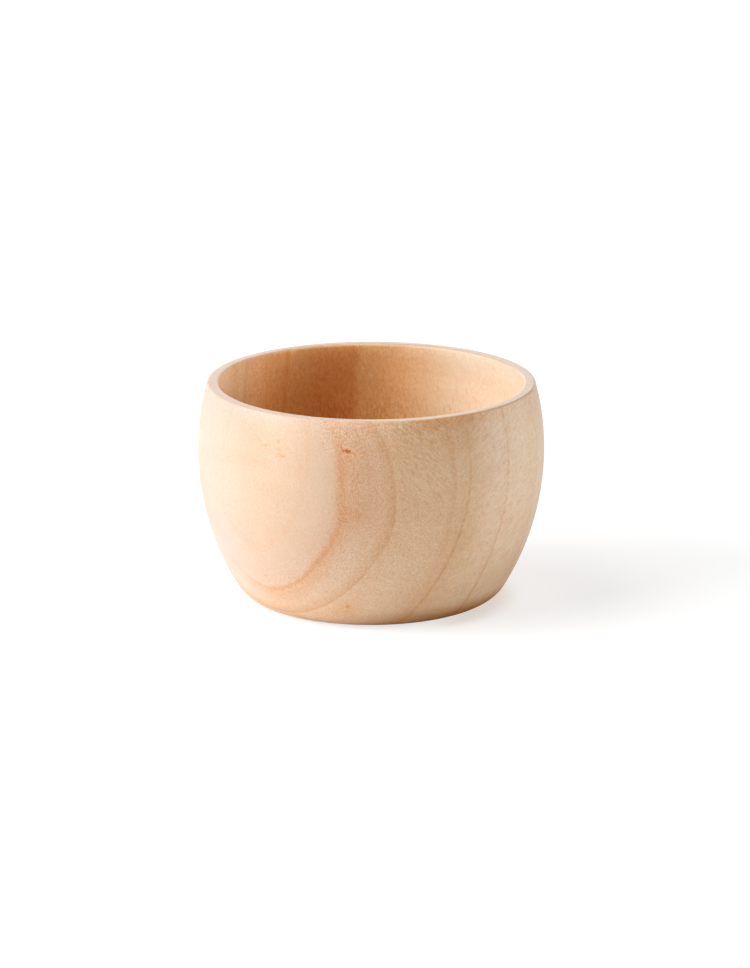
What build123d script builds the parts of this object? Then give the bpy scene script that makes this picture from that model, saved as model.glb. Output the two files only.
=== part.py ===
from build123d import *
import os

# Egg cup turned from one block of pale hardwood: a barrel-shaped wall, a thin flat rim and a flat foot.
# The frame is +Z up, with the origin at the centre of the foot. All sizes are in millimetres.

# Mouth and rim
MOUTH_RADIUS = 22.0  # opening that takes the blunt end of a hen's egg
RIM_WIDTH = 1.6  # flat ring of end grain round the mouth
RIM_EASE = 0.3  # rounding that sanding leaves on both edges of the ring

# Outside of the wall
HEIGHT = 31.8  # foot to rim
BELLY_DROP = 10.0  # from the rim down to the widest part
BELLY_SWELL = 1.4  # how far the widest part stands out past the rim
FOOT_TUCK = 6.8  # how far the corner of the foot lies inside the widest part, before it is rounded
FOOT_ROUNDING = 4.5  # rounding of that corner, down to the flat

# Hollow
HOLLOW_SWELL = 0.6  # how far the hollow widens behind the rim, as the tool follows the outside
FLOOR_THICKNESS = 5.0  # wood left under the deepest point

# Places that follow from the sizes
rim_radius = MOUTH_RADIUS + RIM_WIDTH
belly_radius = rim_radius + BELLY_SWELL
belly_height = HEIGHT - BELLY_DROP
foot_corner_radius = belly_radius - FOOT_TUCK
hollow_radius = MOUTH_RADIUS + HOLLOW_SWELL
bowl_depth = belly_height - FLOOR_THICKNESS

UPWARDS = (0, 1)
DOWNWARDS = (0, -1)


def half_section():
    """Right half of the cup, cut through its axis: X is the radius and Y is the height."""
    belly = (belly_radius, belly_height)
    rim_outside = (rim_radius, HEIGHT)
    rim_inside = (MOUTH_RADIUS, HEIGHT)
    hollow_widest = (hollow_radius, belly_height)
    hollow_bottom = (0, FLOOR_THICKNESS)
    foot_centre = (0, 0)
    foot_corner = (foot_corner_radius, 0)

    with BuildSketch() as section:
        with BuildLine():
            Line(foot_centre, foot_corner)
            TangentArc(belly, foot_corner, tangent=DOWNWARDS)
            TangentArc(belly, rim_outside, tangent=UPWARDS)
            Line(rim_outside, rim_inside)
            TangentArc(hollow_widest, rim_inside, tangent=UPWARDS)
            EllipticalCenterArc((0, belly_height), hollow_radius, bowl_depth, start_angle=270, arc_size=90)
            Line(hollow_bottom, foot_centre)
        make_face()
        rim_edges = section.vertices().group_by(Axis.Y)[-1]
        fillet(rim_edges, RIM_EASE)
        foot_edge = section.vertices().group_by(Axis.Y)[0].sort_by(Axis.X)[-1]
        fillet(foot_edge, FOOT_ROUNDING)
    return section.sketch


def turned_cup():
    """The whole cup: the half section turned about its axis, as on a lathe."""
    upright_section = Plane.XZ * half_section()
    return revolve(upright_section, Axis.Z)


os.makedirs("parts", exist_ok=True)
export_step(turned_cup(), "parts/cup.step")
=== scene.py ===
import math
from typing import NamedTuple

import bpy
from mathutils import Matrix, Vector


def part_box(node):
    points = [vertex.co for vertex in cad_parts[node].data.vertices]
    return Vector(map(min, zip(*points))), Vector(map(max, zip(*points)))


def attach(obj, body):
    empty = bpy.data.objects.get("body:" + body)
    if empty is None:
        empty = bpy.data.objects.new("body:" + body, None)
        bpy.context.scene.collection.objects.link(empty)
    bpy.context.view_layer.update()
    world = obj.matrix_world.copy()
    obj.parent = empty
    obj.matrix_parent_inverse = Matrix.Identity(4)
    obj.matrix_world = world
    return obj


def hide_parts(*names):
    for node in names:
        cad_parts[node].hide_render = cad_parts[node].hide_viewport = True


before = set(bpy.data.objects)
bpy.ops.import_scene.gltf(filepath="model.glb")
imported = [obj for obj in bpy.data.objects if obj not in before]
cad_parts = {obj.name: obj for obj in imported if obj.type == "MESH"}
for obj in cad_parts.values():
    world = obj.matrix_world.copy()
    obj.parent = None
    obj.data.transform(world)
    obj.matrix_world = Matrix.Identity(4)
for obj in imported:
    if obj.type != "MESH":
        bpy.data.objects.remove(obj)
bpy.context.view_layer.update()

MM = 0.001

# Sizes of the cup, as its solid has them
CUP_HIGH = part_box("cup")[1]
HEIGHT = CUP_HIGH.z
BELLY_RADIUS = CUP_HIGH.x
BELLY_DROP = 10.0 * MM  # from the rim down to the widest part
BELLY_SWELL = 1.4 * MM  # how far the widest part stands out past the rim
RIM_WIDTH = 1.6 * MM
RIM_EASE = 0.3 * MM  # rounding of both edges of the rim
FOOT_TUCK = 6.8 * MM  # how far the corner of the foot lies inside the widest part, before it is rounded
FOOT_ROUNDING = 4.5 * MM
HOLLOW_SWELL = 0.6 * MM  # how far the hollow widens behind the rim
FLOOR_HEIGHT = 5.0 * MM  # wood left under the hollow


def arc_radius(rise, swell):
    """Radius of an arc that starts upright and leans in by swell over rise."""
    return (rise**2 + swell**2) / (2 * swell)


# Arcs of the cup's section, and the centres that they turn about
BELLY_HEIGHT = HEIGHT - BELLY_DROP
MOUTH_RADIUS = BELLY_RADIUS - BELLY_SWELL - RIM_WIDTH
HOLLOW_RADIUS = MOUTH_RADIUS + HOLLOW_SWELL
BOWL_DEPTH = BELLY_HEIGHT - FLOOR_HEIGHT
WALL_ARC = arc_radius(BELLY_HEIGHT, FOOT_TUCK)  # outside, from the foot up to the widest part
WALL_CENTRE = BELLY_RADIUS - WALL_ARC
SHOULDER_ARC = arc_radius(BELLY_DROP, BELLY_SWELL)  # outside, from the widest part up to the rim
SHOULDER_CENTRE = BELLY_RADIUS - SHOULDER_ARC
HOLLOW_ARC = arc_radius(BELLY_DROP, HOLLOW_SWELL)  # inside, from the rim down to the bowl
HOLLOW_CENTRE = HOLLOW_RADIUS - HOLLOW_ARC
ROUNDING_DROP = BELLY_HEIGHT - FOOT_ROUNDING
FLAT_RADIUS = WALL_CENTRE + math.sqrt((WALL_ARC - FOOT_ROUNDING) ** 2 - ROUNDING_DROP**2)  # of the foot

# Fineness of the turned mesh
STEPS_ROUND = 256
FOOT_STEPS = 8
ROUNDING_STEPS = 12
WALL_STEPS = 28
SHOULDER_STEPS = 14
EASE_STEPS = 6
RIM_STEPS = 3
HOLLOW_STEPS = 14
BOWL_STEPS = 36
EDGE_RING = 0.25 * MM  # width of the narrow rings that keep the rim's edges crisp
MERGE_DISTANCE = 0.001 * MM


def edit_one(piece):
    """Makes piece the only selected object and opens it in edit mode."""
    bpy.ops.object.select_all(action="DESELECT")
    piece.select_set(True)
    bpy.context.view_layer.objects.active = piece
    bpy.ops.object.mode_set(mode="EDIT")


def draw_straight(to_x, steps=1):
    """Runs the section on level from its open end to the radius to_x, in equal steps."""
    piece = bpy.context.edit_object
    piece.update_from_editmode()
    end = next(vertex for vertex in piece.data.vertices if vertex.select)
    step = (to_x - end.co.x) / steps
    for _ in range(steps):
        bpy.ops.mesh.extrude_vertices_move(TRANSFORM_OT_translate={"value": (step, 0, 0)})


def draw_arc(centre_x, centre_z, degrees, steps=1):
    """Runs the section on along an arc about a centre, anticlockwise as seen from the front."""
    angle = math.radians(degrees)
    bpy.ops.mesh.spin(steps=steps, angle=angle, center=(centre_x, 0, centre_z), axis=(0, 1, 0))


def draw_section():
    """Draws half the cup's section, from the middle of the foot round to the middle of the hollow."""
    wall_turn = math.degrees(math.atan2(ROUNDING_DROP, FLAT_RADIUS - WALL_CENTRE))
    ease_height = HEIGHT - RIM_EASE
    ease_rise = BELLY_DROP - RIM_EASE
    outer_ease = SHOULDER_CENTRE + math.sqrt((SHOULDER_ARC - RIM_EASE) ** 2 - ease_rise**2)
    shoulder_turn = math.degrees(math.atan2(ease_rise, outer_ease - SHOULDER_CENTRE))
    shoulder_edge = math.degrees(EDGE_RING / SHOULDER_ARC)
    inner_ease = HOLLOW_CENTRE + math.sqrt((HOLLOW_ARC + RIM_EASE) ** 2 - ease_rise**2)
    hollow_turn = math.degrees(math.atan2(ease_rise, inner_ease - HOLLOW_CENTRE))
    hollow_edge = math.degrees(EDGE_RING / HOLLOW_ARC)

    draw_straight(FLAT_RADIUS, FOOT_STEPS)
    draw_arc(FLAT_RADIUS, FOOT_ROUNDING, 90 - wall_turn, ROUNDING_STEPS)
    draw_arc(WALL_CENTRE, BELLY_HEIGHT, wall_turn, WALL_STEPS)
    draw_arc(SHOULDER_CENTRE, BELLY_HEIGHT, shoulder_turn - shoulder_edge, SHOULDER_STEPS)
    draw_arc(SHOULDER_CENTRE, BELLY_HEIGHT, shoulder_edge)
    draw_arc(outer_ease, ease_height, 90 - shoulder_turn, EASE_STEPS)
    draw_straight(outer_ease - EDGE_RING / 2)
    draw_straight(inner_ease + EDGE_RING / 2, RIM_STEPS)
    draw_straight(inner_ease)
    draw_arc(inner_ease, ease_height, 90 + hollow_turn, EASE_STEPS)
    draw_arc(HOLLOW_CENTRE, BELLY_HEIGHT, -hollow_edge)
    draw_arc(HOLLOW_CENTRE, BELLY_HEIGHT, hollow_edge - hollow_turn, HOLLOW_STEPS)
    draw_bowl()


def draw_bowl():
    """Runs the section on down to the middle of the hollow: a quarter circle, pressed to the bowl's depth."""
    draw_arc(0, BELLY_HEIGHT, -90, BOWL_STEPS)
    piece = bpy.context.edit_object
    piece.update_from_editmode()
    count = len(piece.data.vertices)
    bpy.ops.mesh.select_all(action="DESELECT")
    bpy.ops.object.mode_set(mode="OBJECT")
    for vertex in piece.data.vertices[count - BOWL_STEPS:]:
        vertex.select = True
    bpy.ops.object.mode_set(mode="EDIT")
    pressed = (1, 1, BOWL_DEPTH / HOLLOW_RADIUS)
    bpy.ops.transform.resize(value=pressed, center_override=(0, 0, BELLY_HEIGHT))


def turned_cup():
    """The cup: its half section drawn from one point and turned about the upright axis, as on a lathe."""
    bpy.ops.object.select_all(action="DESELECT")
    bpy.ops.mesh.primitive_plane_add(size=MM)
    piece = bpy.context.object
    piece.name = piece.data.name = "turned_cup"
    edit_one(piece)
    bpy.ops.mesh.select_mode(type="VERT")
    bpy.ops.mesh.select_all(action="SELECT")
    bpy.ops.mesh.merge(type="CENTER")
    draw_section()
    bpy.ops.mesh.select_all(action="SELECT")
    bpy.ops.mesh.spin(steps=STEPS_ROUND, angle=math.tau, center=(0, 0, 0), axis=(0, 0, 1))
    bpy.ops.mesh.select_all(action="SELECT")
    bpy.ops.mesh.remove_doubles(threshold=MERGE_DISTANCE)
    bpy.ops.mesh.normals_make_consistent(inside=False)
    bpy.ops.object.mode_set(mode="OBJECT")
    bpy.ops.object.shade_smooth()
    return piece


# The wood, in millimetres: a ring coordinate grows from the back right of the cup to its front left
HEART_TURN = math.radians(-54)  # direction that the rings face, turned from the front
RING_SPAN = 25.0  # radius that the ring shape is measured by
RING_TILT = 1.8  # how far one side runs ahead of the other
RING_BEND = 7.0  # how far the rings curve sideways
RING_PINCH = -5.5  # change of that curve towards the front left
RING_RISE = 0.5  # change of that curve with height
RING_CROWD = -4.8  # how the rings spread towards both ends
RING_WAVER = 0.05, 0.30  # unevenness of the rings at the front left, and elsewhere
WAVER_RINGS = 20.0, 13.0  # where the one turns into the other
MID_HEIGHT = 16.0  # height that the rings' shapes are measured from
RIM_HEIGHT = HEIGHT / MM
GRAIN_TURN = 0.2, 0.15, 0.6  # turn of the fine grain against the cup, in radians
# The right side is also the side away from the main lamp; painted shade and light follow it
RIGHT_SIDE = math.radians(75)  # direction of the cup's right side, turned from the front
BACK = 2.0, 12.0  # where the back starts, measured from the axis
BACK_LOSS = 0.8  # how far tints of the front fade out at the back
# The pale tint on the left side is painted sheen of the main lamp
LEFT_RINGS = 11.0, 15.0  # rings whose left side keeps its tint in the hollow too
RIM_DEPTH = 2.6  # how far down the wood next to the rim reaches
HOLLOW_SKIN = 0.5  # thickness of the wood that takes the looks of the hollow
HOLLOW_EDGE = 1.02, 0.98  # where those looks end, as a share of the skin's reach

# Colours of the wood, linear
LATEWOOD = (0.57, 0.235, 0.088, 1)
RING_LINE = (0.66, 0.30, 0.085, 1)
FIRST_BAND = (0.63, 0.25, 0.075, 1)
END_GRAIN = (0.585, 0.450, 0.352, 1)
PORE = (0.62, 0.28, 0.095, 1)
KNOT = (0.55, 0.12, 0.02, 1)
STAIN = (0.72, 0.29, 0.08, 1)
SHADE = (0.36, 1.0, 1.62)  # how far the fine grain changes red, green and blue
END_SHADE = (0.5, 0.8, 1.0)  # the same on end grain
# Tone of the wood along the ring coordinate
TONES = (
    (-20.0, (0.720, 0.575, 0.415)),
    (-14.0, (0.740, 0.525, 0.330)),
    (-9.0, (0.685, 0.505, 0.370)),
    (0.0, (0.722, 0.543, 0.378)),
    (2.5, (0.725, 0.527, 0.362)),
    (4.5, (0.746, 0.540, 0.374)),
    (9.0, (0.751, 0.516, 0.323)),
    (12.0, (0.779, 0.510, 0.300)),
    (14.5, (0.801, 0.533, 0.322)),
    (16.4, (0.787, 0.508, 0.302)),
    (18.2, (0.733, 0.498, 0.326)),
    (19.2, (0.690, 0.482, 0.337)),
)
LAST_TONE = -9.0  # ring coordinate past which the outside keeps one tone
LAST_TONE_INSIDE = -21.0  # the same in the hollow


class Ring(NamedTuple):
    """Boundary of one growth ring on the ring coordinate, and the dark wood along it."""
    place: float  # at middle height
    lean: float = 0.0  # shift with height
    bow: float = 0.0  # shift with the square of the height
    skew: float = 0.0  # shift sideways
    soft: float = 0.0  # depth of the soft dark wood that ends at the boundary
    reach: float = 0.5  # how far that wood fades out
    line: float = 0.0  # depth of the thin line on the boundary
    width: float = 0.2  # half width of that line
    share: tuple = (1, 1, 1)  # how much of both shows near the foot, at middle height and under the rim
    kink: float = 0.0  # shift about middle height, where the line turns in towards the foot
    where: str = ""  # "front" or "outside", if it shows only there


RINGS = {
    "inner faint": Ring(19.90, 0.28, -0.96, 0.16, line=0.10, width=0.10, where="front"),
    "first": Ring(
        19.12, 0.45, -0.80, -0.19, line=0.15, width=0.11, share=(1.8, 0.4, 0.4), kink=-0.15, where="front"
    ),
    "trailing": Ring(18.21, -0.69, -0.94, -0.19, line=0.16, width=0.12, share=(1, 0, 0), where="front"),
    "second": Ring(16.44, -0.07, 0.62, 0.00, 0.29, 0.80, 0.13, 0.14, share=(1.1, 1, 0.7), kink=-0.20),
    "broad": Ring(11.50, 0.05, 0.10, 0.00, 0.13, 0.75, 0.05, 0.45, share=(0.3, 1, 1)),
    "fourth": Ring(10.25, -0.72, 0.10, -0.26, 0.12, 1.6, 0.33, 0.28, share=(1.3, 1.05, 0.6)),
    "fifth": Ring(3.93, -0.48, -0.25, -0.29, 0.06, 2.0, 0.33, 0.36, share=(1.4, 1, 1.2)),
    "outer faint": Ring(-5.58, -0.30, -0.17, 0.60, 0.12, 8.0, 0.20, 0.30, where="outside"),
    "back": Ring(-12.20, -0.30, 0.20, 0.40, 0.09, 3.0, 0.20, 0.32, where="outside"),
    "last": Ring(-17.30, -0.90, -0.60, 0.30, 0.11, 2.5, 0.18, 0.32, where="outside"),
}
KINK_HEIGHT = 10.4, 15.68, 16.8, 22.4  # where kinked rings shift
FOOT_SHARE = 14.4, 8.0  # heights between which a ring's share near the foot takes over
RIM_SHARE = 24.8, 29.6  # the same for its share under the rim
FRONT_LINES = -0.30, 0.15  # where lines of the front fade in, along the rings
LINE_BREAKS = 3.2  # how far the lines on the outside are broken
LINE_SPREAD = 0.6  # scale of distances to a ring in the hollow, so that its lines are wider there
RING_UNEVEN = 1.5  # how far the dark wood varies from place to place
# Dark wood between the rings: behind the fourth ring, and a broad streak at the back of the hollow
BEHIND_FOURTH = -2.6, -0.3, -0.1, 0.1  # measured from that ring
BEHIND_FOURTH_DEPTH = 0.11
STREAK = -0.8, 0.6, 4.0, 10.5  # measured from the outer faint ring
STREAK_ALONG = 0.1, -0.6
STREAK_DEPTH = 0.53
STREAK_DEPTH_OUTSIDE = 0.21
STREAK_TOP = 1.0, -3.0  # rings towards which it fades out next to the rim
# Orange band that starts at the first ring and fades out towards the second, measured from the first
BAND_ALONG = -0.10, 0.22
BAND_FOOT = 9.6, 4.8
BAND_FOOT_LOSS = 0.3
BAND_RIM = 24.8, 30.4
BAND_RIM_LOSS = 0.4
BAND_WIDE = -2.5, -0.5
BAND_WIDE_DEPTH = 0.25
BAND_WIDE_LOW = 20.8, 12.8  # heights over which the wide part grows narrow towards the foot
BAND_WIDE_NARROW = 2.9  # how many times narrower it is there
BAND_PEAK = -0.36, 0.0
BAND_PEAK_DEPTH = 0.33
BAND_PEAK_LOW = 12.8, 8.0  # the same for its peak
BAND_PEAK_NARROW = 2.4
BAND_EDGE = 0.26, -0.14
BAND_HALO = 0.75, 0.05
BAND_HALO_DEPTH = 0.08


class PinKnot(NamedTuple):
    """A small knot on the outside: an orange stain, with a dark core in the larger ones."""
    angle: float  # from the front, in degrees
    height: float
    half_width: float
    half_height: float
    depth: float  # of the stain
    core: float = 0.0  # depth of the core
    tilt: float = 0.0  # turn of its long side, in degrees, down to the right


PIN_KNOTS = (
    PinKnot(-7.7, 27.74, 0.95, 0.44, 0.85, 1.0, 8),
    PinKnot(-5.9, 27.45, 0.75, 0.32, 0.60, 0.0, 25),
    PinKnot(-7.7, 26.95, 0.42, 0.38, 0.60),
    PinKnot(-6.8, 26.50, 0.32, 0.32, 0.50),
    PinKnot(-37.0, 27.30, 0.32, 0.30, 0.55),
    PinKnot(-40.0, 28.00, 0.80, 0.45, 0.22, 0.0, 30),
    PinKnot(-30.6, 26.25, 0.90, 0.32, 0.55, 0.0, 12),
    PinKnot(-31.9, 27.15, 0.42, 0.35, 0.45),
    PinKnot(-32.2, 28.30, 0.34, 0.30, 0.45),
    PinKnot(-15.3, 27.80, 0.15, 0.14, 0.55, 0.5),
    PinKnot(-9.2, 3.85, 0.42, 0.20, 0.65, 0.2, -40),
    PinKnot(-9.8, 3.00, 0.50, 0.30, 0.22, 0.0, -20),
)
STAIN_EDGE = 1.1, 0.3
CORE_EDGE = 0.8, 0.35
RAGGED_MOTTLE = 0.8  # how far mottling and speckle fray the knots' edges
RAGGED_SPECKLE = 2.6


class Cloud(NamedTuple):
    """A place on the outside where the wood's tone drifts."""
    angle: float  # from the front, in degrees
    height: float
    half_width: float
    half_height: float
    tint: tuple


CLOUDS = (
    Cloud(2, 19.0, 9.0, 3.5, (0.99, 0.96, 0.94)),
    Cloud(-5, 18.3, 2.8, 1.5, (1.0, 0.94, 0.87)),
    Cloud(-24, 25.0, 0.9, 2.6, (1.0, 0.95, 0.90)),
    Cloud(11, 28.0, 4.0, 3.0, (0.98, 0.945, 0.90)),
    Cloud(31, 29.5, 6.0, 4.0, (0.97, 0.92, 0.87)),
    Cloud(32, 13.5, 4.0, 6.0, (0.96, 0.93, 0.86)),
    Cloud(-47, 27.0, 6.0, 5.0, (1.0, 0.93, 0.93)),
    Cloud(-62, 16.5, 9.0, 6.0, (1.0, 1.05, 1.08)),
    Cloud(67, 24.0, 7.0, 5.0, (1.0, 1.03, 1.02)),
    Cloud(-36, 8.5, 14.0, 5.0, (0.99, 0.97, 0.93)),
    Cloud(-9.5, 3.4, 2.4, 2.0, (0.98, 0.90, 0.80)),
    Cloud(-21.5, 13.2, 2.6, 2.2, (1.0, 0.94, 0.89)),
)
CLOUD_EDGE = 1.2, 0.1
CLOUD_DRIFT = 0.6  # how uneven that edge is
SPOT_DEPTH = 1.0  # least reach of a knot or cloud into the wall


def below_rim(*depths):
    """Heights of some depths under the rim."""
    return tuple(RIM_HEIGHT - depth for depth in depths)


class Patch(NamedTuple):
    """A part of the cup: one side of it, within a run of each measure that is given.

    A run goes smoothly from nothing at its first value to all at its second. With four values it fades out
    again from the third to the fourth.
    """
    where: str  # a mask of the wood
    ring: tuple = ()  # run of the ring coordinate
    along: tuple = ()  # run along the rings
    height: tuple = ()
    right: tuple = ()  # run from the left side of the cup to its right
    radius: tuple = ()


UNDER_RIM = below_rim(5.0, 1.0)
UPPER_EDGE = below_rim(2.2, 0.4)
INNER_ROUNDING = below_rim(0.5, 0.15, 0.04, 0.005)
INNER_EDGE = below_rim(0.005, 0.06)
FOOT_CORNER = 15.8, 16.5  # radii just past the flat of the foot

# Slow changes of the colour over the cup, partly the wood's own tone and partly painted light and shade: what
# it is multiplied by, and where
TINTS = (
    # Paler and cooler towards the left: painted sheen where the main lamp lights that side
    ((0.96, 1.00, 1.17), Patch("pale_side", along=(0.30, -0.35))),
    # Hollow: warm and brown in the middle, painted shade where the hollow lies in shade; pinkish at the far
    # left; pale at the right, painted light where the lamp lights the wall; and painted light next to the rim
    ((1.12, 0.86, 0.52), Patch("hollow", ring=(-17.0, -9.0, 5.5, 10.5))),
    ((1.12, 1.11, 1.05), Patch("hollow", ring=(4.5, 8.5))),
    ((0.96, 1.04, 1.09), Patch("hollow", ring=(9.5, 11.0))),
    ((1.00, 1.03, 1.08), Patch("hollow", along=(0.05, 0.30))),
    ((1.03, 1.08, 1.17), Patch("hollow", ring=(-5.0, -8.0), height=below_rim(4.0, 0.8))),
    ((1.00, 1.03, 1.22), Patch("hollow", right=(19.0, 21.5), height=below_rim(7.0, 2.0))),
    # Painted light that the wall gathers just under the rim's inner edge
    ((1.27, 1.33, 1.35), Patch("inner_rim", ring=(8.0, 3.0), along=(0.2, -0.4), height=INNER_EDGE)),
    # Outside: painted shade towards the foot, deepest at its right corner and low on the right, the side away
    # from the main lamp, and paler at the low front
    ((0.94, 0.92, 0.88), Patch("outside", height=(4.0, 0.2))),
    # Painted shade in the corner where the foot meets the floor, away from the main lamp
    ((0.62, 0.32, 0.04), Patch("outside", height=(3.8, 0.6), right=(-6.0, 20.0), radius=FOOT_CORNER)),
    ((0.92, 0.88, 0.80), Patch("outside", height=(15.0, 4.0), ring=(10.0, 3.0))),
    ((1.01, 1.065, 1.16), Patch("outside", height=(16.0, 8.0), ring=(11.0, 13.0))),
    # Outside, under the rim: warmer; along the upper edge painted light on the left and in the middle, and
    # painted shade at the right, darkest there
    ((0.99, 0.96, 0.92), Patch("outside", height=UNDER_RIM, ring=(15.8, 13.8))),
    ((1.00, 0.93, 0.96), Patch("front_wall", height=UNDER_RIM, along=(0.3, 0.0))),
    ((1.01, 1.04, 1.13), Patch("outside", height=UPPER_EDGE, right=(-18.0, -10.0, 3.0, 9.0))),
    ((1.09, 1.06, 1.06), Patch("outside", height=UPPER_EDGE, right=(-4.0, 2.0, 6.0, 12.0))),
    ((0.98, 0.85, 0.72), Patch("outside", height=UPPER_EDGE, right=(9.0, 15.0, 20.0, 23.0))),
)
# The same for the rounding between the rim and the hollow: painted light at the far left, where the rounding
# faces away from the main lamp, and painted shade in the middle, where the lamp lights it
ROUNDING_TINTS = (
    ((1.34, 1.24, 1.12), Patch("far_left_edge", height=INNER_ROUNDING, along=(-0.60, -0.75))),
    ((0.96, 1.06, 1.15), Patch("hollow", height=INNER_ROUNDING, along=(-0.45, -0.65), ring=(7.0, 2.0))),
    ((0.98, 0.87, 0.85), Patch("hollow", height=INNER_ROUNDING, along=(-0.50, -0.25, 0.10, 0.35))),
    ((1.00, 1.03, 1.18), Patch("hollow", height=INNER_ROUNDING, along=(0.25, 0.45))),
)
FAR_LEFT_RINGS = 7.0, 3.0  # rings past which the far left edge is all tinted


class Grain(NamedTuple):
    """Fine noise in the wood."""
    lies: str  # how it is turned in the block
    waves: tuple  # to a millimetre, along each axis
    detail: float
    warp: float = 0.0


GRAINS = {
    "ring waver": Grain("upright", (1.3, 1.3, 0.22), 3.0, 0.5),
    "cloud": Grain("upright", (0.22, 0.22, 0.14), 3.0, 0.6),
    "line breaks": Grain("upright", (0.9, 0.9, 0.75), 2.0, 0.6),
    "lathe lines": Grain("upright", (0.02, 0.02, 2.2), 3.0),
    "layers": Grain("upright", (0.04, 0.04, 0.30), 2.0),
    "fibre": Grain("grain", (1.8, 1.8, 0.12), 3.0, 0.3),
    "speckle": Grain("grain", (6.4, 6.4, 4.2), 1.0, 0.3),
    "mottle": Grain("grain", (1.2, 1.2, 0.6), 3.0, 0.8),
    "fleck": Grain("grain", (0.8, 0.8, 1.6), 3.0, 0.8),
    "dash": Grain("grain", (3.2, 3.2, 1.3), 1.0, 0.4),
    "pore": Grain("grain", (3.2, 3.2, 1.0), 1.0, 0.4),
    "dot": Grain("grain", (2.6, 2.6, 0.9), 1.0, 0.4),
    "right figure": Grain("right slant", (2.6, 2.6, 0.5), 2.0, 0.6),
    "middle figure": Grain("middle slant", (3.4, 3.4, 0.8), 2.0, 0.6),
}
GRAIN_ROUGHNESS = 0.55
# Slanted grain: the axis that it is turned about, and by how many degrees
SLANTS = {
    "right slant": ((1, -1, 0), 55),
    "middle slant": ((-0.34, 0.94, 0), 50),
}
# Depth of each kind of grain in the colour
FIBRE_DEPTH = 0.16
MOTTLE_DEPTH = 0.20
FIGURE_DEPTH = 0.42
CLOUD_DEPTH = 0.10
FLECK_DEPTH = 0.22
LATHE_DEPTH = 0.04
LAYER_DEPTH = 0.12
PORE_DEPTH = 0.26
DOT_DEPTH = 0.48
END_SPECKLE_DEPTH = 0.40
END_MOTTLE_DEPTH = 0.25
END_RING_DEPTH = 0.45
PORE_EDGE = 0.12, 0.28
DOT_EDGE = 0.13, 0.26
FLECK_RINGS = 12.0, 8.0
# Where the grain differs
TORN = Patch("outside", height=UNDER_RIM, ring=(2.0, 6.0))
TORN_DASH = 0.10
TORN_COARSE = 0.35
DASH_HEIGHT = 26.0, 20.0
DASH_SHARE = 0.55, 1.0  # of the dashes in the hollow, above and below those heights
DOTS = Patch("hollow", ring=(-4.0, -9.0), height=(29.5, 26.5))
RIGHT_FIGURE = Patch("outside", ring=(12.5, 9.5))
MIDDLE_FIGURE = Patch("outside", ring=(10.5, 12.5, 15.8, 16.6), height=(16.0, 23.2))
MIDDLE_FIGURE_SHARE = 1.7
SMOOTH_FOOT = Patch("outside", height=(11.0, 4.0))
HOLLOW_CALM = 0.40  # how much weaker the speckle is in the hollow, in both figures and near the foot
RIGHT_CALM = 0.45
MIDDLE_CALM = 0.35
FOOT_CALM = 0.25
COARSE_RINGS = 19.5, 18.7  # rings towards which the wood grows coarse
COARSE_RINGS_INSIDE = -18.0, -9.0  # the same in the hollow
COARSE_ALONG = 0.0, 0.25
COARSE_SHARE = 0.40, 1.0  # depth of the fine grain in smooth wood and in coarse wood
COARSE_BAND = 12.0, 18.4
COARSE_BAND_MORE = 0.5
# End grain on the rim and under the foot
END_HEIGHT = below_rim(0.035, 0.005)
END_FAR_RINGS = 14.0, 9.0
END_FAR_DROP = 0.16  # how much deeper it reaches on the far side of the hollow
END_DEPTH = 0.8
UNDER_HEIGHT = 0.06, 0.01
UNDER_RADIUS = 16.2, 15.2
UNDER_DEPTH = 0.7
# Surface
ROUGHNESS = 0.55
ROUGHNESS_MOTTLE = 0.12
SPECULAR = 0.35
FIBRE_RELIEF = 0.5
SPECKLE_RELIEF = 0.6
PORE_RELIEF = -0.8
LATHE_RELIEF = 0.4
RELIEF_STRENGTH = 0.15
RELIEF_HEIGHT = 0.05 * MM


def add_node(tree, kind, values=None, **settings):
    """A node with its settings; each input takes a plain value or what feeds it."""
    node = tree.nodes.new(kind)
    for name, setting in settings.items():
        setattr(node, name, setting)
    for key, value in (values or {}).items():
        value = getattr(value, "socket", value)
        if isinstance(value, bpy.types.NodeSocket):
            tree.links.new(value, node.inputs[key])
        else:
            node.inputs[key].default_value = value
    return node


class Number:
    """A number that runs through a node tree; sums and products of numbers add maths nodes."""

    def __init__(self, socket):
        self.socket = socket
        self.tree = socket.id_data

    def maths(self, operation, other):
        values = {0: self, 1: other}
        return Number(add_node(self.tree, "ShaderNodeMath", values, operation=operation).outputs[0])

    def __add__(self, other):
        return self.maths("ADD", other)

    def __sub__(self, other):
        return self.maths("SUBTRACT", other)

    def __mul__(self, other):
        return self.maths("MULTIPLY", other)

    def at_least(self, other):
        return self.maths("MAXIMUM", other)

    def at_most(self, other):
        return self.maths("MINIMUM", other)

    def between(self, low, high):
        """Runs evenly from low where the number is 0 to high where it is 1."""
        return self * (high - low) + low

    def ease(self, start, end):
        """Runs smoothly from 0 where the number is start to 1 where it is end."""
        values = {"Value": self, "From Min": start, "From Max": end}
        node = add_node(self.tree, "ShaderNodeMapRange", values, interpolation_type="SMOOTHSTEP")
        return Number(node.outputs["Result"])

    def run(self, start, full, fades=None, gone=None):
        """Eases from start to full and, where asked, out again from fades to gone."""
        rising = self.ease(start, full)
        return rising if fades is None else rising * self.ease(gone, fades)


def total(numbers):
    """Sum of a list of numbers."""
    return sum(numbers[1:], numbers[0])


def vector_maths(tree, operation, first, second=None, output=0, **values):
    """One operation on vectors or colours."""
    values = {0: first, **values}
    if second is not None:
        values[1] = second
    return add_node(tree, "ShaderNodeVectorMath", values, operation=operation).outputs[output]


def length(tree, vector):
    """Length of a vector."""
    return Number(vector_maths(tree, "LENGTH", vector, output="Value"))


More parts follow.
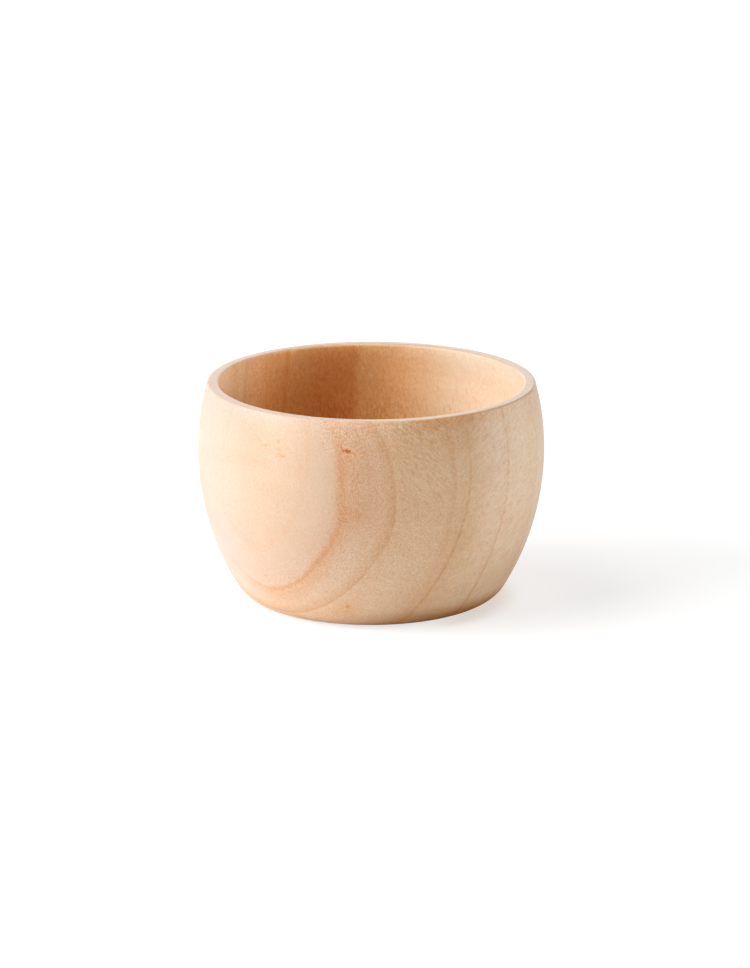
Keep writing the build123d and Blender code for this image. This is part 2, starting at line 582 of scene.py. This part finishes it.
def reach(tree, place, turn):
    """How far a place lies from the upright axis in a level direction, turned from the front."""
    heading = (math.sin(turn), -math.cos(turn), 0)
    return Number(vector_maths(tree, "DOT_PRODUCT", place, heading, "Value"))


def blend(tree, amount, first, second):
    """Colour that runs from first to second by amount."""
    return add_node(tree, "ShaderNodeMix", {0: amount, 6: first, 7: second}, data_type="RGBA").outputs[2]


def tinted(tree, colour, amount, tint):
    """The colour multiplied by a tint, as far as amount says."""
    return vector_maths(tree, "MULTIPLY", colour, blend(tree, amount, (1, 1, 1, 1), (*tint, 1)))


def shaded(tree, colour, shade, amount):
    """The colour made lighter or darker by amount, times the shade's share for red, green and blue."""
    change = vector_maths(tree, "SCALE", shade, Scale=amount)
    return vector_maths(tree, "MULTIPLY", colour, vector_maths(tree, "ADD", change, (1, 1, 1)))


class Wood:
    """Measures and masks of the block that the cup is turned from, in millimetres."""

    def __init__(self, tree):
        self.tree = tree
        where = add_node(tree, "ShaderNodeTexCoord").outputs["Object"]
        self.place = vector_maths(tree, "SCALE", where, Scale=1 / MM)
        self.height = Number(add_node(tree, "ShaderNodeSeparateXYZ", {0: self.place}).outputs["Z"])
        self.radius = length(tree, vector_maths(tree, "MULTIPLY", self.place, (1, 1, 0)))
        self.right = reach(tree, self.place, RIGHT_SIDE)
        self.back = reach(tree, self.place, math.pi).ease(*BACK)
        self.lies = self.lays_of_grain()
        self.grains = {}
        self.find_rings()
        self.find_sides()

    def lays_of_grain(self):
        """The place turned in each way that grain lies."""
        turn = {"Vector": self.place, "Rotation": GRAIN_TURN}
        grain = add_node(self.tree, "ShaderNodeVectorRotate", turn, rotation_type="EULER_XYZ").outputs[0]
        lies = {"upright": self.place, "grain": grain}
        for name, (axis, degrees) in SLANTS.items():
            turn = {"Vector": self.place, "Axis": axis, "Angle": math.radians(degrees)}
            node = add_node(self.tree, "ShaderNodeVectorRotate", turn, rotation_type="AXIS_ANGLE")
            lies[name] = node.outputs[0]
        return lies

    def grain(self, name):
        """Even noise about zero, -0.5 to 0.5, made once for each kind of grain."""
        if name not in self.grains:
            kind = GRAINS[name]
            values = {
                "Vector": vector_maths(self.tree, "MULTIPLY", self.lies[kind.lies], kind.waves),
                "Scale": 1.0,
                "Detail": kind.detail,
                "Roughness": GRAIN_ROUGHNESS,
                "Distortion": kind.warp,
            }
            self.grains[name] = Number(add_node(self.tree, "ShaderNodeTexNoise", values).outputs["Fac"]) - 0.5
        return self.grains[name]

    def find_rings(self):
        """Sets up, the rise from middle height; along, the place along the rings; and the ring coordinate."""
        self.up = self.height * (1 / MID_HEIGHT) - 1.0
        self.along = reach(self.tree, self.place, HEART_TURN + math.pi / 2) * (1 / RING_SPAN)
        across = reach(self.tree, self.place, HEART_TURN) * (1 / RING_SPAN)
        bend = across * RING_PINCH + self.up * RING_RISE + RING_BEND
        ring = across * RING_SPAN + self.along * RING_TILT
        ring = ring + self.along * self.along * bend + across * across * across * RING_CROWD
        self.ring = ring + self.grain("ring waver") * ring.ease(*WAVER_RINGS).between(*RING_WAVER)

    def find_sides(self):
        """Sets the masks: the hollow, the outside and parts of both."""
        wide = HOLLOW_RADIUS / MM + HOLLOW_SKIN
        deep = BOWL_DEPTH / MM + HOLLOW_SKIN
        level = (self.height * (1 / deep) - BELLY_HEIGHT / MM / deep).at_most(0.0)
        flat = vector_maths(self.tree, "MULTIPLY", self.place, (1 / wide, 1 / wide, 0))
        sunk = add_node(self.tree, "ShaderNodeCombineXYZ", {"Z": level}).outputs[0]
        share = length(self.tree, vector_maths(self.tree, "ADD", flat, sunk))
        self.hollow = share.ease(*HOLLOW_EDGE)
        self.outside = self.hollow.between(1.0, 0.0)
        self.front_wall = self.outside * self.back.between(1.0, 1.0 - BACK_LOSS)
        # pale_side: where the painted sheen of the main lamp lies
        self.pale_side = self.front_wall.at_least(self.ring.ease(*LEFT_RINGS))
        near_rim = (self.height * (1 / RIM_DEPTH) - (RIM_HEIGHT / RIM_DEPTH - 1.0)).at_least(0.0)
        self.inner_rim = near_rim * near_rim * self.hollow
        drop = self.hollow * self.ring.ease(*END_FAR_RINGS) * END_FAR_DROP
        self.rim_end = (self.height + drop).ease(*END_HEIGHT)
        # far_left_edge: where the painted light on the rounding at the far left lies
        self.far_left_edge = self.hollow * self.ring.ease(*FAR_LEFT_RINGS).at_least(self.rim_end)

    def patch(self, patch):
        """How far a place lies in a patch, 0 to 1."""
        amount = getattr(self, patch.where)
        for measure in ("ring", "along", "height", "right", "radius"):
            run = getattr(patch, measure)
            if run:
                amount = amount * getattr(self, measure).run(*run)
        return amount

    def spot(self, angle, height, half_width, half_height, tilt=0.0):
        """Distance from a place on the outside, 1 at the edge of an oval of this size."""
        radius, turn = outside_radius(height), math.radians(angle)
        values = {
            "Vector": self.place,
            "Location": (radius * math.sin(turn), -radius * math.cos(turn), height),
            "Rotation": (0, math.radians(tilt), turn),
            "Scale": (half_width, max(half_width, SPOT_DEPTH), half_height),
        }
        oval = add_node(self.tree, "ShaderNodeMapping", values, vector_type="TEXTURE").outputs[0]
        return length(self.tree, oval)


def outside_radius(height):
    """Radius of the outside at a height, in millimetres."""
    rise = height - BELLY_HEIGHT / MM
    arc = (SHOULDER_ARC if rise > 0 else WALL_ARC) / MM
    return BELLY_RADIUS / MM - arc + math.sqrt(arc**2 - rise**2)


def ring_tone(wood):
    """Tone of the plain wood, from the ring coordinate."""
    low, high = TONES[0][0], TONES[-1][0]
    ring = wood.ring.at_least(wood.hollow.between(LAST_TONE, LAST_TONE_INSIDE))
    share = ring * (1 / (high - low)) - low / (high - low)
    ramp = add_node(wood.tree, "ShaderNodeValToRGB", {0: share})
    ramp.color_ramp.interpolation = "EASE"
    while len(ramp.color_ramp.elements) < len(TONES):
        ramp.color_ramp.elements.new(0.5)
    for element, (at, colour) in zip(ramp.color_ramp.elements, TONES):
        element.position = (at - low) / (high - low)
        element.color = (*colour, 1)
    return ramp.outputs["Color"]


def ring_gaps(wood):
    """Distance past each ring's boundary, on the ring coordinate."""
    square = wood.up * wood.up
    turn = wood.height.run(*KINK_HEIGHT)
    gaps = {}
    for name, ring in RINGS.items():
        boundary = wood.up * ring.lean + square * ring.bow + wood.along * ring.skew + ring.place
        if ring.kink:
            boundary = boundary + turn * ring.kink
        gaps[name] = wood.ring - boundary
    return gaps


def latewood(wood, gaps):
    """How much soft dark wood and how much thin line show along the rings, each 0 to 1."""
    masks = {"front": wood.along.ease(*FRONT_LINES), "outside": wood.outside}
    near_foot, near_rim = wood.height.ease(*FOOT_SHARE), wood.height.ease(*RIM_SHARE)
    unbroken = (wood.grain("line breaks") * wood.outside * LINE_BREAKS + 1.0).at_least(0.0)
    spread = wood.hollow.between(1.0, LINE_SPREAD)
    soft_wood = []
    lines = []
    for name, ring in RINGS.items():
        gap = gaps[name] * spread
        shows = gap.ease(-ring.width, 0)
        foot, middle, rim = ring.share
        if ring.share != (1, 1, 1):
            shows = shows * (near_foot * (foot - middle) + near_rim * (rim - middle) + middle)
        if ring.where:
            shows = shows * masks[ring.where]
        lines.append(shows * gap.ease(ring.width, 0) * ring.line * unbroken)
        if ring.soft:
            soft_wood.append(shows * gap.ease(ring.reach, 0) * ring.soft)
    soft_wood.append(gaps["fourth"].run(*BEHIND_FOURTH) * BEHIND_FOURTH_DEPTH)
    soft_wood.append(streak(wood, gaps["outer faint"]))
    uneven = wood.grain("cloud") * RING_UNEVEN + 1.0
    return (total(soft_wood) * uneven).at_most(1.0), (total(lines) * uneven).at_most(1.0)


def streak(wood, gap):
    """How much of the broad dark streak shows, most at the back of the hollow."""
    depth = wood.outside.between(STREAK_DEPTH, STREAK_DEPTH_OUTSIDE)
    shows = gap.run(*STREAK) * wood.along.ease(*STREAK_ALONG) * depth
    return shows * (wood.inner_rim * wood.ring.ease(*STREAK_TOP)).between(1.0, 0.0)


def first_band(wood, gap):
    """How much of the orange band shows that starts at the first ring and fades out towards the second."""
    foot = wood.height.ease(*BAND_FOOT) * -BAND_FOOT_LOSS
    rim = wood.height.ease(*BAND_RIM) * -BAND_RIM_LOSS
    wide = (gap * wood.height.ease(*BAND_WIDE_LOW).between(1.0, BAND_WIDE_NARROW)).ease(*BAND_WIDE)
    crisp = gap * wood.height.ease(*BAND_PEAK_LOW).between(1.0, BAND_PEAK_NARROW)
    body = wide * BAND_WIDE_DEPTH + crisp.ease(*BAND_PEAK) * BAND_PEAK_DEPTH
    band = crisp.ease(*BAND_EDGE) * body + gap.ease(*BAND_HALO) * wide * BAND_HALO_DEPTH
    return band * wood.along.ease(*BAND_ALONG) * (foot + rim + 1.0) * (wood.grain("cloud") + 1.0)


def with_tints(wood, colour, tints):
    """The colour with a table of tints on it."""
    for tint, patch in tints:
        colour = tinted(wood.tree, colour, wood.patch(patch), tint)
    return colour


def with_clouds(wood, colour):
    """The colour with the places where its tone drifts."""
    drift = wood.grain("cloud") * CLOUD_DRIFT
    for cloud in CLOUDS:
        away = wood.spot(cloud.angle, cloud.height, cloud.half_width, cloud.half_height)
        colour = tinted(wood.tree, colour, (away + drift).ease(*CLOUD_EDGE) * wood.outside, cloud.tint)
    return colour


def coarseness(wood, band):
    """Depth of the fine grain: less in smooth wood, and most in torn grain and on the first band."""
    rings = wood.ring.ease(*COARSE_RINGS) * wood.ring.ease(*COARSE_RINGS_INSIDE).at_least(wood.outside)
    sides = wood.along.ease(*COARSE_ALONG).at_least(wood.back).at_least(wood.hollow)
    more = wood.patch(TORN) * TORN_COARSE + band * wood.height.ease(*COARSE_BAND) * COARSE_BAND_MORE
    return (rings * sides).between(*COARSE_SHARE) * (more + 1.0)


def fine_shade(wood, coarse):
    """Light and dark of the fibres, speckle, dashes, figure, flecks and lathe lines, about zero."""
    right = wood.patch(RIGHT_FIGURE)
    middle = wood.patch(MIDDLE_FIGURE)
    calm = wood.hollow * -HOLLOW_CALM + right * -RIGHT_CALM + middle * -MIDDLE_CALM
    spots = wood.grain("speckle") * (calm + wood.patch(SMOOTH_FOOT) * -FOOT_CALM + 1.0)
    hollow_dashes = wood.hollow * wood.height.ease(*DASH_HEIGHT).between(*DASH_SHARE)
    dashes = wood.grain("dash") * (hollow_dashes + wood.patch(TORN) * TORN_DASH)
    figure = wood.grain("right figure") * right + wood.grain("middle figure") * middle * MIDDLE_FIGURE_SHARE
    fibres = wood.grain("fibre") * FIBRE_DEPTH + wood.grain("mottle") * MOTTLE_DEPTH
    fine = (fibres + spots + dashes + figure * FIGURE_DEPTH) * coarse
    flecks = wood.grain("fleck") * wood.ring.ease(*FLECK_RINGS) * FLECK_DEPTH
    turning = wood.grain("lathe lines") * LATHE_DEPTH + wood.grain("layers") * LAYER_DEPTH
    return fine + wood.grain("cloud") * CLOUD_DEPTH + flecks + turning


def with_pores(wood, colour, coarse):
    """The colour with short dark dashes along the grain, and clearer ones at the right of the hollow."""
    pores = wood.grain("pore").ease(*PORE_EDGE) * coarse * PORE_DEPTH
    dots = wood.grain("dot").ease(*DOT_EDGE) * wood.patch(DOTS) * DOT_DEPTH
    return blend(wood.tree, dots, blend(wood.tree, pores, colour, PORE), PORE)


def with_pin_knots(wood, colour):
    """The colour with the pin knots."""
    ragged = wood.grain("mottle") * RAGGED_MOTTLE + wood.grain("speckle") * RAGGED_SPECKLE + 1.0
    for knot in PIN_KNOTS:
        away = wood.spot(knot.angle, knot.height, knot.half_width, knot.half_height, knot.tilt) * ragged
        colour = blend(wood.tree, away.ease(*STAIN_EDGE) * knot.depth, colour, STAIN)
        if knot.core:
            colour = blend(wood.tree, away.ease(*CORE_EDGE) * knot.core, colour, KNOT)
    return colour


def with_end_grain(wood, colour, dark):
    """The colour with end grain on the rim and under the foot, and the painted light and shade of the
    rounding next to the hollow; dark is its share of late wood.
    """
    tree = wood.tree
    under = wood.height.ease(*UNDER_HEIGHT) * wood.radius.ease(*UNDER_RADIUS)
    spots = wood.grain("speckle") * END_SPECKLE_DEPTH + wood.grain("mottle") * END_MOTTLE_DEPTH
    end_grain = shaded(tree, blend(tree, dark * END_RING_DEPTH, END_GRAIN, LATEWOOD), END_SHADE, spots)
    colour = blend(tree, wood.rim_end * END_DEPTH + under * UNDER_DEPTH, colour, end_grain)
    return with_tints(wood, colour, ROUNDING_TINTS)


def wood_colour(wood):
    """Colour of the wood: rings, tints with painted light and shade among them, fine grain, pores, pin knots
    and end grain.
    """
    gaps = ring_gaps(wood)
    dark, lines = latewood(wood, gaps)
    band = first_band(wood, gaps["first"])
    coarse = coarseness(wood, band)
    colour = blend(wood.tree, dark, ring_tone(wood), LATEWOOD)
    colour = blend(wood.tree, lines, colour, RING_LINE)
    colour = blend(wood.tree, band, colour, FIRST_BAND)
    colour = with_tints(wood, colour, TINTS)
    colour = with_clouds(wood, colour)
    colour = shaded(wood.tree, colour, SHADE, fine_shade(wood, coarse))
    colour = with_pores(wood, colour, coarse)
    colour = with_pin_knots(wood, colour)
    colour = with_end_grain(wood, colour, dark + lines)
    return vector_maths(wood.tree, "MINIMUM", colour, (1, 1, 1))


def wood_material():
    """Pale turned hardwood, bare and fine-sanded, all in the cup's own space."""
    material = bpy.data.materials.new("pale_turned_wood")
    material.use_nodes = True
    tree = material.node_tree
    shader = tree.nodes["Principled BSDF"]
    wood = Wood(tree)
    tree.links.new(wood_colour(wood), shader.inputs["Base Color"])
    roughness = wood.grain("mottle") * ROUGHNESS_MOTTLE + ROUGHNESS
    tree.links.new(roughness.socket, shader.inputs["Roughness"])
    shader.inputs["Specular IOR Level"].default_value = SPECULAR
    relief = wood.grain("fibre") * FIBRE_RELIEF + wood.grain("speckle") * SPECKLE_RELIEF
    relief = relief + wood.grain("pore").ease(*PORE_EDGE) * PORE_RELIEF
    relief = relief + wood.grain("lathe lines") * LATHE_RELIEF
    values = {"Height": relief, "Strength": RELIEF_STRENGTH, "Distance": RELIEF_HEIGHT}
    bump = add_node(tree, "ShaderNodeBump", values)
    tree.links.new(bump.outputs["Normal"], shader.inputs["Normal"])
    return material


# Studio
CAMERA_DISTANCE = 700 * MM
CAMERA_ELEVATION = math.radians(15.45)
CAMERA_CLIP = 10 * MM
FRAME_HEIGHT_PIXELS = 968
PIXELS_PER_MM = 6.9055  # at the aim point
SENSOR = 36.0
AIM = Vector((0.55, 0, 16.3)) * MM
LAMP_DISTANCE = 1.2
LIGHT = 1.22  # level of all lamps together
FLOOR_SIZE = 6
FLOOR_GAP = 0.02 * MM  # keeps the floor clear of the cup's flat underside
FLOOR_WHITE = 0.9
FLOOR_LIFT = 0.715  # white that the camera sees added on the floor
FLOOR_SHADE = 0.515  # how much of the floor's own light and shadow the camera sees, at level 1
# Painted shadow: the floor's lift is warmed and lowered close to the right of the foot
CONTACT_RADIUS = 22.5 * MM, 18.0 * MM  # where the floor takes a warm shade from the foot
CONTACT_RIGHT = 11.0 * MM, 17.0 * MM
CONTACT_SHADE = (0.862, 0.806, 0.750, 1)


class Lamp(NamedTuple):
    """A soft lamp that faces the cup."""
    name: str
    azimuth: float  # in degrees: 0 is the camera's side and -90 the left
    elevation: float
    width: float
    height: float
    power: float  # at level 1


LAMPS = (
    Lamp("left_key", -72, 27, 1.0, 0.7, 15.1),
    Lamp("left_top", -95, 58, 0.9, 0.6, 6.3),
    Lamp("right_low", 95, 9, 0.9, 0.45, 8.7),
    Lamp("back_low", 180, 9, 0.9, 0.45, 6.1),
)


def add_camera():
    """The camera at the photograph's distance, height and framing."""
    data = bpy.data.cameras.new("camera")
    data.sensor_fit = "VERTICAL"
    data.sensor_height = SENSOR
    data.lens = SENSOR * PIXELS_PER_MM / MM * CAMERA_DISTANCE / FRAME_HEIGHT_PIXELS
    data.clip_start = CAMERA_CLIP
    camera = bpy.data.objects.new("camera", data)
    bpy.context.scene.collection.objects.link(camera)
    away = Vector((0, -math.cos(CAMERA_ELEVATION), math.sin(CAMERA_ELEVATION)))
    camera.location = AIM + away * CAMERA_DISTANCE
    camera.rotation_euler = (math.pi / 2 - CAMERA_ELEVATION, 0, 0)
    bpy.context.scene.camera = camera


def floor_material():
    """White that the camera sees lifted, with a faint shadow and a painted warm shadow at the right of the
    foot.
    """
    material = bpy.data.materials.new("white_floor")
    material.use_nodes = True
    tree = material.node_tree
    tree.nodes.remove(tree.nodes["Principled BSDF"])
    white = (FLOOR_WHITE, FLOOR_WHITE, FLOOR_WHITE, 1)
    plain = add_node(tree, "ShaderNodeBsdfDiffuse", {"Color": white})
    faint = FLOOR_WHITE * FLOOR_SHADE / LIGHT
    shadow = add_node(tree, "ShaderNodeBsdfDiffuse", {"Color": (faint, faint, faint, 1)})
    place = add_node(tree, "ShaderNodeTexCoord").outputs["Object"]
    # Painted warm shadow next to the foot, on the side away from the main lamp
    contact = length(tree, place).ease(*CONTACT_RADIUS) * reach(tree, place, RIGHT_SIDE).ease(*CONTACT_RIGHT)
    lift = blend(tree, contact, (1, 1, 1, 1), CONTACT_SHADE)
    glow = add_node(tree, "ShaderNodeEmission", {"Color": lift, "Strength": FLOOR_LIFT})
    seen = add_node(tree, "ShaderNodeAddShader", {0: shadow.outputs[0], 1: glow.outputs[0]})
    camera_ray = add_node(tree, "ShaderNodeLightPath").outputs["Is Camera Ray"]
    mix = add_node(tree, "ShaderNodeMixShader", {0: camera_ray, 1: plain.outputs[0], 2: seen.outputs[0]})
    tree.links.new(mix.outputs[0], tree.nodes["Material Output"].inputs["Surface"])
    return material


def add_floor():
    """The floor that the cup stands on."""
    bpy.ops.object.select_all(action="DESELECT")
    bpy.ops.mesh.primitive_plane_add(size=FLOOR_SIZE, location=(0, 0, -FLOOR_GAP))
    floor = bpy.context.object
    floor.name = "floor"
    floor.data.materials.append(floor_material())


def add_lamp(lamp):
    """Places a lamp so that it faces the middle of the cup."""
    data = bpy.data.lights.new(lamp.name, "AREA")
    data.shape = "RECTANGLE"
    data.size = lamp.width
    data.size_y = lamp.height
    data.energy = lamp.power * LIGHT
    light = bpy.data.objects.new(lamp.name, data)
    bpy.context.scene.collection.objects.link(light)
    azimuth, elevation = math.radians(lamp.azimuth), math.radians(lamp.elevation)
    level = math.cos(elevation)
    away = Vector((math.sin(azimuth) * level, -math.cos(azimuth) * level, math.sin(elevation)))
    light.location = Vector((0, 0, HEIGHT / 2)) + away * LAMP_DISTANCE
    light.rotation_euler = away.to_track_quat("Z", "Y").to_euler()


def set_world():
    """White surroundings that only the camera sees."""
    world = bpy.data.worlds.new("surroundings")
    bpy.context.scene.world = world
    world.use_nodes = True
    tree = world.node_tree
    background = tree.nodes["Background"]
    background.inputs["Color"].default_value = (1, 1, 1, 1)
    camera_ray = add_node(tree, "ShaderNodeLightPath").outputs["Is Camera Ray"]
    tree.links.new(camera_ray, background.inputs["Strength"])


cup = turned_cup()
cup.data.materials.append(wood_material())
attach(cup, "root")
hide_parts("cup")

add_camera()
add_floor()
for lamp in LAMPS:
    add_lamp(lamp)
set_world()
bpy.context.scene.view_settings.view_transform = "Standard"
